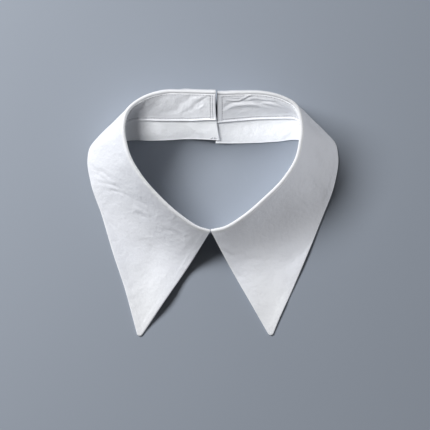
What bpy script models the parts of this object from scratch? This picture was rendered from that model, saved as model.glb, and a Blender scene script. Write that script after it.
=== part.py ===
"""Detachable shirt collar in white cotton, lying on a table with its neck opening upwards.

The collar is cut as a left and a right half, which meet at the centre front and open at the
centre back. Each half has three pieces of cloth: a pointed leaf that rolls over the fold and
falls outwards to the table, a stand inside the fold, and a plain band below the stand.
"""
import math
from collections import namedtuple

import bmesh
import bpy
import numpy as np

MM = 0.001

# Cloth and the way it lies, in millimetres and in shares of a length
LEAF_THICKNESS = 1.4
STAND_THICKNESS = 1.2
BAND_THICKNESS = 1.0
SEAM_GAP = 0.3
ROLL_RADIUS = 1.5
LIP_LENGTH = 2.0
BAND_SHARE = 0.45
HANDLE_SHARE = 0.4
FRONT_STEP = 2.0
HEM_STEP = 4.5
TIP_ROUNDING = 0.7
SETTLE_DEPTH = 0.05
FOOT_SHARE = 0.25
SHARP_EDGE = 50.0

# How finely each wall is divided, in steps
STATIONS = 41
LIP_STEPS = 1
ROLL_STEPS = 6
FALL_STEPS = 10
STAND_STEPS = 4
BAND_STEPS = 3
DENSE_STEPS = 64

# One row for each section across the collar, from the centre back to the centre front:
# the top of the fold, the leaf's outer edge on the table, the slope in degrees at which the
# leaf leaves the roll and lands, the length that lies flat before the edge, the foot of the
# band, the height of both lower edges above the table, and how far the inner wall bows inwards.
Section = namedtuple(
    "Section",
    "fold_x fold_y fold_z edge_x edge_y leave land flat foot_x foot_y lift bow",
)
LEFT_ROWS = (
    Section(-1.0, 86.5, 48.0, -1.0, 96.5, 66, 86, 0, 2.4, 60.2, 5.5, -0.8),
    Section(-22.0, 88.2, 44.5, -23.5, 98.2, 66, 86, 0, -20.0, 62.4, 0.8, 0.8),
    Section(-42.4, 88.0, 43.0, -45.0, 97.6, 68, 84, 0, -39.0, 61.6, 0.0, -0.3),
    Section(-56.0, 83.4, 42.6, -61.0, 94.0, 72, 78, 0, -54.0, 61.2, 0.0, -3.0),
    Section(-64.2, 77.6, 42.2, -72.0, 86.6, 74, 74, 0, -65.5, 61.6, 0.0, -4.5),
    Section(-69.2, 70.4, 42.0, -83.0, 75.6, 70, 69, 0, -73.5, 60.4, 0.0, -3.5),
    Section(-71.2, 62.5, 42.0, -93.6, 64.8, 63, 60, 0, -78.5, 55.0, 0.0, -1.5),
    Section(-71.1, 57.0, 42.0, -100.6, 55.8, 60, 52, 0, -79.5, 50.5, 0.0, -0.5),
    Section(-70.2, 51.0, 41.5, -102.6, 46.0, 58, 45, 0, -79.0, 45.5, 0.0, 0.0),
    Section(-66.8, 39.0, 40.8, -99.3, 24.5, 58, 36, 0, -76.0, 34.0, 0.0, 0.0),
    Section(-58.0, 23.8, 38.5, -91.0, 1.0, 58, 22, 2, -65.5, 19.0, 0.0, 0.0),
    Section(-42.4, 6.6, 34.2, -81.0, -31.0, 56, 6, 10, -45.5, 4.5, 0.0, 0.0),
    Section(-24.5, -7.8, 29.0, -70.2, -62.5, 50, 0, 26, -25.5, -7.5, 0.0, 0.0),
    Section(-13.0, -14.2, 25.2, -64.5, -82.6, 42, 0, 38, -13.0, -12.0, 0.0, 0.0),
    Section(-4.0, -16.4, 22.5, -59.8, -99.4, 36, 0, 46, -4.0, -13.5, 0.0, 0.0),
)
RIGHT_ROWS = (
    Section(1.2, 86.9, 43.5, 1.2, 96.5, 66, 86, 0, 0.2, 59.0, 0.0, 1.0),
    Section(20.0, 87.8, 43.0, 22.0, 98.2, 66, 86, 0, 19.0, 59.0, 0.0, -1.4),
    Section(38.5, 87.4, 43.0, 41.5, 97.4, 68, 84, 0, 37.0, 59.6, 0.0, -3.0),
    Section(52.5, 84.0, 42.6, 57.5, 94.6, 72, 78, 0, 52.0, 60.6, 0.0, -4.0),
    Section(61.0, 79.0, 42.3, 68.8, 88.6, 74, 74, 0, 63.0, 62.0, 0.0, -4.5),
    Section(65.4, 72.0, 42.0, 79.4, 78.0, 70, 69, 0, 70.5, 61.4, 0.0, -3.5),
    Section(67.3, 63.0, 42.0, 90.6, 66.6, 62, 60, 0, 75.5, 57.0, 0.0, -1.5),
    Section(67.4, 57.0, 42.0, 97.2, 58.6, 60, 53, 0, 76.8, 52.0, 0.0, -0.5),
    Section(66.6, 50.5, 41.5, 99.2, 48.0, 60, 47, 0, 76.5, 46.0, 0.0, 0.0),
    Section(63.6, 37.5, 40.6, 95.8, 25.0, 60, 40, 0, 73.5, 33.0, 0.0, 0.0),
    Section(54.5, 22.2, 38.0, 84.8, -4.0, 60, 30, 0, 62.0, 17.5, 0.0, 0.0),
    Section(38.5, 6.4, 33.8, 73.0, -32.7, 58, 14, 4, 42.0, 3.5, 0.0, 0.0),
    Section(20.6, -7.4, 28.5, 58.8, -65.0, 50, 4, 20, 21.5, -7.5, 0.0, 0.0),
    Section(7.5, -14.2, 24.8, 50.2, -83.5, 42, 0, 30, 8.0, -12.0, 0.0, 0.0),
    Section(-3.0, -16.2, 22.5, 43.9, -98.6, 36, 0, 38, -3.0, -13.5, 0.0, 0.0),
)

# Base colour and roughness of each cloth
LEAF_COLOUR = (0.80, 0.81, 0.83, 1.0)
STAND_COLOUR = (0.76, 0.77, 0.80, 1.0)
BAND_COLOUR = (0.78, 0.79, 0.81, 1.0)
CLOTH_ROUGHNESS = 0.88


def stations(rows):
    """Sections at even steps of the fold's length, on smooth curves through the rows."""
    table = np.array(rows, dtype=float)
    chords = np.linalg.norm(np.diff(table[:, :3], axis=0), axis=1)
    knots = np.concatenate([[0.0], np.cumsum(chords)])
    slopes = np.gradient(table, knots, axis=0)
    found = []
    places = np.linspace(0.0, knots[-1] - FRONT_STEP, STATIONS - 1)
    for place in np.append(places, knots[-1]):
        index = min(int(np.searchsorted(knots, place, side="right")) - 1, len(knots) - 2)
        width = knots[index + 1] - knots[index]
        t = (place - knots[index]) / width
        value = (
            (2 * t**3 - 3 * t**2 + 1) * table[index]
            + (t**3 - 2 * t**2 + t) * width * slopes[index]
            + (3 * t**2 - 2 * t**3) * table[index + 1]
            + (t**3 - t**2) * width * slopes[index + 1]
        )
        found.append(Section(*value))
    return found


def outward_normals(sections, side):
    """Level unit vectors that point out of the neck, square to the fold."""
    fold = np.array([(s.fold_x, s.fold_y) for s in sections])
    run = np.gradient(fold, axis=0)
    run /= np.linalg.norm(run, axis=1)[:, None]
    return side * np.stack([-run[:, 1], run[:, 0]], axis=1)


def level(vector, height):
    """A point or direction from its two level parts and its height."""
    return np.array([vector[0], vector[1], height])


class Cut:
    """The middle lines of the leaf and of the inner wall at one section."""

    def __init__(self, section, outward):
        self.section = section
        self.outward = outward
        self.sideways = np.array([-outward[1], outward[0]])
        self.fold = np.array([section.fold_x, section.fold_y])
        self.foot = np.array([section.foot_x, section.foot_y])
        edge = np.array([section.edge_x, section.edge_y])
        self.spread = np.linalg.norm(edge - self.fold)
        self.fall = (edge - self.fold) / self.spread
        self.axis_height = section.fold_z - ROLL_RADIUS
        self.find_wall()

    def find_wall(self):
        """Find where the inner wall leaves the roll, as a tangent drawn from its foot."""
        reach = (self.foot - self.fold) @ self.outward
        drop = self.foot_height() - self.axis_height
        slope = math.atan2(drop, reach)
        self.inner_angle = slope - math.acos(ROLL_RADIUS / math.hypot(reach, drop))
        self.inner_angle %= math.tau
        self.top = level(
            self.fold + self.outward * ROLL_RADIUS * math.cos(self.inner_angle),
            self.axis_height + ROLL_RADIUS * math.sin(self.inner_angle),
        )
        self.shear = (self.foot - self.fold) @ self.sideways
        straight_foot = level(self.foot - self.sideways * self.shear, self.foot_height())
        self.run = straight_foot - self.top
        self.wall_length = np.linalg.norm(self.run)
        down = self.run / self.wall_length
        across = level(self.sideways, 0.0)
        self.inwards = np.cross(down, across)
        self.inwards *= -np.sign(self.inwards[:2] @ self.outward)

    def foot_height(self):
        """Height of the middle of the band's lower edge."""
        return BAND_THICKNESS * FOOT_SHARE + max(self.section.lift, 0.0)

    def wall(self, share):
        """Point on the inner wall, from 0 where it leaves the roll to 1 at its foot."""
        sideways = level(self.sideways, 0.0) * self.shear * share**2
        bow = self.inwards * self.section.bow * math.sin(math.pi * share) ** 2
        return self.top + self.run * share + sideways + bow

    def roll(self, steps):
        """Points over the roll, from the inner wall to the outer side."""
        last = math.pi / 2 - math.radians(self.section.leave)
        points = []
        for angle in np.linspace(self.inner_angle, last, steps + 1):
            reach = ROLL_RADIUS * math.cos(angle)
            facing = self.outward if reach < 0 else self.fall
            height = self.axis_height + ROLL_RADIUS * math.sin(angle)
            points.append(level(self.fold + facing * reach, height))
        return points

    def outer(self, start, steps):
        """Points down the leaf's outer side, evenly spaced, after the roll's last point."""
        leave = math.radians(self.section.leave)
        land = math.radians(max(self.section.land, 0.0))
        flat = max(self.section.flat, 0.0)
        edge_height = LEAF_THICKNESS / 2 * math.cos(land) + max(self.section.lift, 0.0)
        landing = level(self.fold + self.fall * (self.spread - flat), edge_height)
        handle = HANDLE_SHARE * np.linalg.norm(landing - start)
        after_start = start + level(self.fall * math.cos(leave), -math.sin(leave)) * handle
        before_landing = landing - level(self.fall * math.cos(land), -math.sin(land)) * handle
        t = np.linspace(0.0, 1.0, DENSE_STEPS + 1)[:, None]
        line = (
            (1 - t) ** 3 * start
            + 3 * (1 - t) ** 2 * t * after_start
            + 3 * (1 - t) * t**2 * before_landing
            + t**3 * landing
        )
        if flat > 0:
            line = np.vstack([line, landing + level(self.fall * flat, 0.0)])
        lengths = np.concatenate([[0.0], np.cumsum(np.linalg.norm(np.diff(line, axis=0), axis=1))])
        places = np.append(np.linspace(0.0, lengths[-1] - HEM_STEP, steps)[1:], lengths[-1])
        return [np.array([np.interp(p, lengths, line[:, k]) for k in range(3)]) for p in places]

    def leaf_line(self):
        """The leaf's middle line, from its seam with the stand to its outer edge."""
        lip_share = LIP_LENGTH / self.wall_length
        lip = [self.wall(share) for share in np.linspace(lip_share, 0.0, LIP_STEPS + 1)]
        roll = self.roll(ROLL_STEPS)
        return lip + roll[1:] + self.outer(roll[-1], FALL_STEPS)

    def stand_line(self):
        """The stand's middle line, from its seam with the leaf down to its seam with the band."""
        top = (LIP_LENGTH + SEAM_GAP) / self.wall_length
        bottom = 1.0 - BAND_SHARE - SEAM_GAP / 2 / self.wall_length
        return [self.wall(share) for share in np.linspace(top, bottom, STAND_STEPS + 1)]

    def band_line(self):
        """The band's middle line, from its seam with the stand down to its foot."""
        top = 1.0 - BAND_SHARE + SEAM_GAP / 2 / self.wall_length
        return [self.wall(share) for share in np.linspace(top, 1.0, BAND_STEPS + 1)]


def round_tip(lines):
    """Draw the leaf's pointed corner in towards its two neighbours."""
    neighbours = (lines[-1][-2] + lines[-2][-1]) / 2
    lines[-1][-1] += (neighbours - lines[-1][-1]) * TIP_ROUNDING
    return lines


def cloth_material(name, colour):
    """A plain matt cloth material."""
    material = bpy.data.materials.new(name)
    material.use_nodes = True
    shader = material.node_tree.nodes["Principled BSDF"]
    shader.inputs["Base Color"].default_value = colour
    shader.inputs["Roughness"].default_value = CLOTH_ROUGHNESS
    shader.inputs["Metallic"].default_value = 0.0
    material.diffuse_color = colour
    return material


def loft(name, lines, side):
    """An open surface through the middle lines of neighbouring sections."""
    mesh = bmesh.new()
    grid = [[mesh.verts.new(point * MM) for point in line] for line in lines]
    for line, following in zip(grid, grid[1:]):
        for k in range(len(line) - 1):
            corners = [line[k], following[k], following[k + 1], line[k + 1]]
            mesh.faces.new(corners if side > 0 else reversed(corners))
    data = bpy.data.meshes.new(name)
    mesh.to_mesh(data)
    mesh.free()
    return bpy.data.objects.new(name, data)


def thicken(piece, thickness):
    """Give an open surface its wall, half of it on each side."""
    solidify = piece.modifiers.new("Wall", "SOLIDIFY")
    solidify.thickness = thickness * MM
    solidify.offset = 0.0
    solidify.use_even_offset = True
    depsgraph = bpy.context.evaluated_depsgraph_get()
    wall = bpy.data.meshes.new_from_object(piece.evaluated_get(depsgraph))
    piece.modifiers.remove(solidify)
    piece.data = wall


def settle(piece):
    """Flatten what touches the table, or dips under it, onto the table."""
    for vertex in piece.data.vertices:
        if vertex.co.z < SETTLE_DEPTH * MM:
            vertex.co.z = 0.0


def centre(pieces):
    """Move all pieces so that the origin is under the middle of the collar's box."""
    points = np.array([vertex.co for piece in pieces for vertex in piece.data.vertices])
    middle = (points.min(axis=0) + points.max(axis=0)) / 2
    for piece in pieces:
        for vertex in piece.data.vertices:
            vertex.co.x -= middle[0]
            vertex.co.y -= middle[1]


def make_half(name, rows, side, collection, materials):
    """Build the leaf, stand and band of one half."""
    sections = stations(rows)
    cuts = [Cut(s, n) for s, n in zip(sections, outward_normals(sections, side))]
    plans = (
        ("leaf", LEAF_THICKNESS, round_tip([cut.leaf_line() for cut in cuts])),
        ("stand", STAND_THICKNESS, [cut.stand_line() for cut in cuts]),
        ("band", BAND_THICKNESS, [cut.band_line() for cut in cuts]),
    )
    pieces = []
    for kind, thickness, lines in plans:
        piece = loft(f"{kind}_{name}", lines, side)
        piece.data.materials.append(materials[kind])
        collection.objects.link(piece)
        bpy.context.view_layer.update()
        thicken(piece, thickness)
        settle(piece)
        piece.data.shade_smooth()
        piece.data.set_sharp_from_angle(angle=math.radians(SHARP_EDGE))
        pieces.append(piece)
    return pieces


def main():
    """Clear the scene and build the collar."""
    for existing in list(bpy.data.objects):
        bpy.data.objects.remove(existing)
    collection = bpy.data.collections.new("detachable_shirt_collar")
    bpy.context.scene.collection.children.link(collection)
    materials = {
        "leaf": cloth_material("leaf_cotton", LEAF_COLOUR),
        "stand": cloth_material("stand_cotton", STAND_COLOUR),
        "band": cloth_material("band_cotton", BAND_COLOUR),
    }
    pieces = make_half("left", LEFT_ROWS, -1, collection, materials)
    pieces += make_half("right", RIGHT_ROWS, 1, collection, materials)
    centre(pieces)


main()
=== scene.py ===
"""Detachable shirt collar in white cotton, lying on a pale table with its neck opening upwards.

Each half has a pointed leaf, a stand and a band. Lengths are millimetres until a mesh is made.
"""
import logging
import math
from dataclasses import dataclass, field
from enum import Enum
from typing import NamedTuple, Sequence

import bpy
import numpy as np
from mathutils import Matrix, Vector


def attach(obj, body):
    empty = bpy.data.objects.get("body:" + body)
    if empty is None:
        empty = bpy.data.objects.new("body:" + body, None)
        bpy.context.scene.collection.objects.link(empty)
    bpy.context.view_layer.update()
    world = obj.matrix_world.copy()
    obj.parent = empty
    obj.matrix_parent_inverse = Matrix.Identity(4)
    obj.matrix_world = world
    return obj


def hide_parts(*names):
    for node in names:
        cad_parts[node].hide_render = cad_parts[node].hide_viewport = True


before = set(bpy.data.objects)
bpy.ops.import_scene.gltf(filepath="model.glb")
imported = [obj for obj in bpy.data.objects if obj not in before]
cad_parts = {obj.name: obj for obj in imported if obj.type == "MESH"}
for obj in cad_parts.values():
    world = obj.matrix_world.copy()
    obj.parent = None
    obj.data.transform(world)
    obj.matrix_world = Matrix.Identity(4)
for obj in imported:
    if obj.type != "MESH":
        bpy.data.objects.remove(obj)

logging.basicConfig(level=logging.INFO, format="%(message)s")
LOG = logging.getLogger("collar")

Colour = tuple[float, float, float]
Range = tuple[float, float]

MM = 0.001
TINY = 1e-9
BODY = "root"

# The middle of the collar as it lies, which comes over the frame's origin
TABLE_MIDDLE = np.array([-1.652, 1.105, 0.0])

# The way the cloth is folded, in millimetres and in shares of a length
LEAF_THICKNESS = 1.1
ROLL_RADIUS = 0.9
ROLL_SHIFT = 0.7
ROLL_LEAN = 5.0
LIP_LENGTH = 0.8
SEAM_LAP = 0.6
BAND_SHARE = 0.45
HANDLE_SHARE = 0.4
FOOT_LIFT = 0.25
SETTLED_HEIGHT = 0.05

# Steps down a leaf's dense lines: up its lip, over its roll and down its fall
LIP_STEPS = 6
ROLL_STEPS = 24
FALL_STEPS = 120

# Rows of points near a border, as distances from it
BORDER_ROWS = (0.0, 0.06, 0.2, 0.42, 0.7, 1.05, 1.5, 2.0, 2.5, 3.0, 3.6)
END_ROWS = BORDER_ROWS + (4.2, 4.8, 5.4, 6.0)
LIP_ROWS = (0.0, 0.06, 0.2, 0.42, LIP_LENGTH)

# A crease: the points of its path, the half widths out to its lip, and how bluntly it ends
PATH_POINTS = 28
LIP_PLACE = 1.9
END_BLUNTNESS = 0.6

# A rounded corner, in radii: how far off its sides are measured, and how far it reaches
CORNER_SIDES = 4.0
CORNER_REACH = 2.0


class Section(NamedTuple):
    """One measured section across the collar, in millimetres and degrees."""

    fold_x: float
    fold_y: float
    fold_z: float
    edge_x: float
    edge_y: float
    leave: float
    land: float
    flat: float
    foot_x: float
    foot_y: float
    lift: float
    bow: float


LEFT_SECTIONS = (
    Section(0.7, 86.5, 48.0, 0.3, 96.5, 66, 86, 0, 4.0, 60.2, 5.5, 0.2),
    Section(-22.0, 88.2, 44.5, -23.5, 98.2, 66, 86, 0, -20.0, 62.4, 0.8, 0.8),
    Section(-42.4, 88.0, 43.0, -45.0, 97.6, 68, 84, 0, -39.0, 61.6, 0.0, -0.3),
    Section(-56.0, 83.4, 42.6, -61.0, 94.0, 72, 78, 0, -54.0, 61.2, 0.0, -3.0),
    Section(-64.2, 77.6, 42.2, -72.0, 86.6, 74, 74, 0, -65.5, 61.6, 0.0, -4.5),
    Section(-69.2, 70.4, 42.0, -83.0, 75.6, 70, 69, 0, -73.5, 60.4, 0.0, -3.5),
    Section(-71.2, 62.5, 42.0, -93.6, 64.8, 63, 60, 0, -78.5, 55.0, 0.0, -1.5),
    Section(-71.1, 57.0, 42.0, -100.6, 55.8, 60, 52, 0, -79.5, 50.5, 0.0, -0.5),
    Section(-70.2, 51.0, 41.5, -102.6, 46.0, 58, 45, 0, -79.0, 45.5, 0.0, 0.0),
    Section(-66.8, 39.0, 40.8, -99.3, 24.5, 58, 36, 0, -76.0, 34.0, 0.0, 0.0),
    Section(-58.0, 23.8, 38.5, -91.0, 1.0, 58, 22, 2, -65.5, 19.0, 0.0, 0.0),
    Section(-42.4, 6.6, 34.2, -81.0, -31.0, 56, 6, 10, -45.5, 4.5, 0.0, 0.0),
    Section(-24.5, -7.8, 29.0, -70.2, -62.5, 50, 0, 26, -25.5, -7.5, 0.0, 0.0),
    Section(-13.0, -14.2, 25.2, -64.5, -82.6, 42, 0, 38, -13.0, -12.0, 0.0, 0.0),
    Section(-3.7, -16.4, 22.5, -59.8, -99.4, 36, 0, 46, -3.7, -13.5, 0.0, 0.0),
)
RIGHT_SECTIONS = (
    Section(1.7, 86.9, 43.5, 1.7, 96.5, 66, 86, 0, 0.5, 59.0, 0.0, 0.5),
    Section(20.0, 87.8, 43.0, 22.0, 98.2, 66, 86, 0, 19.0, 59.0, 0.0, -1.4),
    Section(38.5, 87.4, 43.0, 41.5, 97.4, 68, 84, 0, 37.0, 59.6, 0.0, -3.0),
    Section(52.5, 84.0, 42.6, 57.5, 94.6, 72, 78, 0, 52.0, 60.6, 0.0, -4.0),
    Section(61.0, 79.0, 42.3, 68.8, 88.6, 74, 74, 0, 63.0, 62.0, 0.0, -4.5),
    Section(65.4, 72.0, 42.0, 79.4, 78.0, 70, 69, 0, 70.5, 61.4, 0.0, -3.5),
    Section(67.3, 63.0, 42.0, 90.6, 66.6, 62, 60, 0, 75.5, 57.0, 0.0, -1.5),
    Section(67.4, 57.0, 42.0, 97.2, 58.6, 60, 53, 0, 76.8, 52.0, 0.0, -0.5),
    Section(66.6, 50.5, 41.5, 99.2, 48.0, 60, 47, 0, 76.5, 46.0, 0.0, 0.0),
    Section(63.6, 37.5, 40.6, 95.8, 25.0, 60, 40, 0, 73.5, 33.0, 0.0, 0.0),
    Section(54.5, 22.2, 38.0, 84.8, -4.0, 60, 30, 0, 62.0, 17.5, 0.0, 0.0),
    Section(38.5, 6.4, 33.8, 73.0, -32.7, 58, 14, 4, 42.0, 3.5, 0.0, 0.0),
    Section(20.6, -7.4, 28.5, 58.8, -65.0, 50, 4, 20, 21.5, -7.5, 0.0, 0.0),
    Section(7.5, -14.2, 24.8, 50.2, -83.5, 42, 0, 30, 8.0, -12.0, 0.0, 0.0),
    Section(-3.3, -16.2, 22.5, 43.9, -98.6, 36, 0, 38, -3.3, -13.5, 0.0, 0.0),
)


class Crease(NamedTuple):
    """One crease of a piece, along a path over the cloth.

    The path's places are (along the fold from the centre back, down from the piece's upper
    reference), width is its half width, height its rise (a trough where negative), and lip the
    share of the height that the cloth gives back on the side below the path.
    """

    path: tuple[tuple[float, float], ...]
    width: float
    height: float
    lip: float = 0.0


LEFT_LEAF_CREASES = (
    Crease(((99.0, 52.5), (103.5, 46.5), (107.0, 38.0), (113.5, 33.0)), 1.7, -0.36, 0.5),
    Crease(((103.5, 52.0), (107.5, 44.0), (114.0, 37.0)), 1.3, -0.26, 0.6),
    Crease(((109.0, 49.5), (113.0, 42.0), (117.5, 34.5), (124.0, 29.5)), 1.5, -0.38, 0.6),
    Crease(((112.5, 51.0), (117.0, 41.0), (123.0, 34.0)), 1.2, -0.24, 0.5),
    Crease(((115.5, 47.5), (119.5, 38.5), (124.0, 31.5), (130.5, 25.5)), 1.1, -0.34, 0.6),
    Crease(((126.0, 31.5), (134.0, 25.5), (143.0, 19.0), (154.0, 13.0)), 4.2, -0.36, 0.3),
    Crease(((136.0, 29.0), (143.0, 24.0), (150.0, 21.5)), 1.6, -0.26, 0.5),
    Crease(((141.0, 33.0), (146.0, 28.5), (152.5, 25.5)), 2.2, -0.36, 0.5),
    Crease(((131.0, 57.0), (135.0, 55.0), (139.5, 54.5)), 1.1, -0.20, 0.3),
    Crease(((148.0, 47.0), (155.0, 41.0), (166.0, 38.0)), 4.6, 0.30, 0.2),
    Crease(((166.0, 22.0), (174.0, 17.0), (184.0, 15.5)), 1.7, -0.24, 0.5),
    Crease(((80.0, 22.0), (90.0, 30.0), (97.0, 41.0)), 5.0, 0.45),
    Crease(((20.0, 8.0), (26.0, 24.0), (24.0, 40.0)), 3.4, 0.55, 0.5),
    Crease(((48.0, 12.0), (45.0, 27.0), (50.0, 41.0)), 2.6, -0.50, 0.4),
    Crease(((57.0, 9.0), (56.0, 19.0), (59.0, 27.0)), 1.5, -0.28, 0.5),
    Crease(((66.0, 14.0), (62.0, 26.0), (63.0, 38.0)), 3.0, 0.45, 0.5),
    Crease(((160.0, 74.0), (172.0, 66.0), (186.0, 62.0)), 6.0, -0.30),
    Crease(((171.0, 88.0), (177.0, 80.0), (181.0, 70.0)), 3.4, 0.22, 0.3),
)
RIGHT_LEAF_CREASES = (
    Crease(((114.0, 24.0), (112.0, 36.0), (113.0, 50.0)), 6.0, -0.60),
    Crease(((120.0, 43.0), (124.0, 36.0), (126.0, 27.0)), 1.6, -0.24, 0.5),
    Crease(((193.0, 17.0), (191.0, 23.0), (187.5, 29.0)), 1.4, -0.34, 0.5),
    Crease(((193.5, 41.0), (191.0, 45.0), (188.0, 48.5)), 1.4, -0.26, 0.4),
    Crease(((183.0, 33.0), (176.0, 37.0), (170.0, 44.0)), 2.2, -0.28, 0.4),
    Crease(((158.0, 45.0), (151.0, 52.0), (141.0, 56.0)), 3.6, 0.30, 0.2),
    Crease(((88.0, 14.0), (92.0, 28.0), (99.0, 40.0)), 4.0, 0.40),
    Crease(((15.0, 10.0), (19.0, 24.0), (14.0, 38.0)), 3.0, -0.50, 0.5),
    Crease(((27.0, 15.0), (29.0, 24.0), (26.0, 31.0)), 1.4, -0.26, 0.5),
    Crease(((38.0, 12.0), (42.0, 26.0), (39.0, 41.0)), 3.6, 0.50, 0.4),
    Crease(((63.0, 15.0), (59.0, 27.0), (62.0, 40.0)), 2.6, -0.45, 0.4),
    Crease(((150.0, 66.0), (163.0, 58.0), (176.0, 50.0)), 6.5, 0.30),
    Crease(((164.0, 92.0), (170.0, 83.0), (173.0, 72.0)), 3.0, -0.22, 0.3),
)
LEFT_STAND_CREASES = (
    Crease(((54.0, 21.0), (45.0, 15.0), (38.0, 8.0), (31.0, 1.0)), 3.6, 0.36, 0.5),
    Crease(((40.0, 20.0), (31.0, 15.5), (26.0, 9.0), (17.0, 4.0)), 2.8, -0.28, 0.6),
    Crease(((26.0, 21.0), (18.5, 16.0), (13.5, 9.0), (7.0, 5.5)), 1.8, -0.26, 0.7),
    Crease(((15.0, 17.5), (11.5, 13.5), (8.5, 11.0)), 1.0, 0.20, 0.7),
    Crease(((13.5, 11.0), (10.5, 6.5), (5.0, 2.5)), 1.1, -0.20, 0.8),
    Crease(((21.0, 8.0), (18.0, 5.5), (13.0, 4.5)), 1.3, 0.18, 0.6),
    Crease(((66.0, 17.0), (60.0, 10.0), (55.0, 3.0)), 2.2, -0.40, 0.5),
    Crease(((96.0, 15.0), (99.0, 9.0), (97.0, 3.0)), 2.4, -0.40, 0.3),
    Crease(((121.0, 14.0), (127.0, 9.0), (131.0, 3.0)), 2.0, 0.35, 0.4),
)
RIGHT_STAND_CREASES = (
    Crease(((6.5, 6.5), (11.0, 8.0), (17.0, 7.6), (22.0, 5.2), (27.0, 1.6)), 0.9, -0.66, 1.0),
    Crease(((5.0, 16.5), (10.5, 12.8), (18.0, 10.2), (29.0, 11.2), (43.0, 15.5)), 1.5, 0.62, 0.9),
    Crease(((10.5, 4.0), (15.0, 5.0), (20.0, 4.0)), 0.8, -0.34, 0.8),
    Crease(((23.0, 8.6), (29.0, 6.6), (38.0, 7.0), (47.0, 5.6)), 1.1, -0.48, 0.8),
    Crease(((33.0, 11.5), (41.0, 9.0), (52.0, 10.5)), 1.3, 0.40, 0.7),
    Crease(((14.0, 17.5), (24.0, 15.0), (35.0, 17.0)), 2.0, -0.30, 0.5),
    Crease(((70.0, 15.0), (74.0, 9.0), (72.0, 3.0)), 2.2, -0.40, 0.4),
    Crease(((104.0, 14.0), (109.0, 9.0), (108.0, 3.0)), 2.4, 0.40, 0.4),
)
LEFT_BAND_CREASES = (
    Crease(((20.0, 3.0), (18.0, 11.0), (13.0, 19.0)), 3.2, 0.40, 0.3),
    Crease(((46.0, 3.0), (42.0, 10.0), (44.0, 18.0)), 2.8, -0.35, 0.3),
    Crease(((88.0, 3.0), (92.0, 9.0), (90.0, 16.0)), 2.8, 0.35, 0.3),
)
RIGHT_BAND_CREASES = (
    Crease(((27.0, 3.0), (30.0, 11.0), (27.0, 19.0)), 3.2, -0.30, 0.3),
    Crease(((52.0, 4.0), (55.0, 10.0), (52.0, 17.0)), 1.9, -0.24, 0.5),
    Crease(((84.0, 3.0), (81.0, 9.0), (83.0, 16.0)), 2.8, 0.35, 0.3),
)


class Wave(NamedTuple):
    """A slow rise and fall: its height, its radians in a millimetre and where it starts."""

    height: float
    rate: float
    phase: float = 0.0

    def at(self, distance: np.ndarray) -> np.ndarray:
        """The wave's value at distances."""
        return self.height * np.sin(distance * self.rate + self.phase)


class Grain(NamedTuple):
    """Noise: its features in one unit, its finer layers and how strong they are."""

    scale: float
    detail: float = 2.0
    rough: float = 0.5
    middle: float = 0.5


class Value:
    """A node's output that takes part in sums and products, each of which adds a Math node."""

    def __init__(self, graph: "Graph", socket: bpy.types.NodeSocket) -> None:
        """Keep the graph and the output."""
        self.graph = graph
        self.socket = socket

    def __add__(self, other: "Value | float") -> "Value":
        """This plus other."""
        return self.graph.math("ADD", self, other)

    def __sub__(self, other: "Value | float") -> "Value":
        """This minus other."""
        return self.graph.math("SUBTRACT", self, other)

    def __rsub__(self, other: float) -> "Value":
        """Other minus this."""
        return self.graph.math("SUBTRACT", other, self)

    def __mul__(self, other: "Value | float") -> "Value":
        """This times other."""
        return self.graph.math("MULTIPLY", self, other)

    def __truediv__(self, other: "Value | float") -> "Value":
        """This over other."""
        return self.graph.math("DIVIDE", self, other)

    __radd__ = __add__
    __rmul__ = __mul__

    def fraction(self) -> "Value":
        """The part after the decimal point."""
        return self.graph.math("FRACT", self)

    def floor(self) -> "Value":
        """The whole number below."""
        return self.graph.math("FLOOR", self)

    def larger(self, other: "Value | float") -> "Value":
        """The larger of this and other."""
        return self.graph.math("MAXIMUM", self, other)


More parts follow.
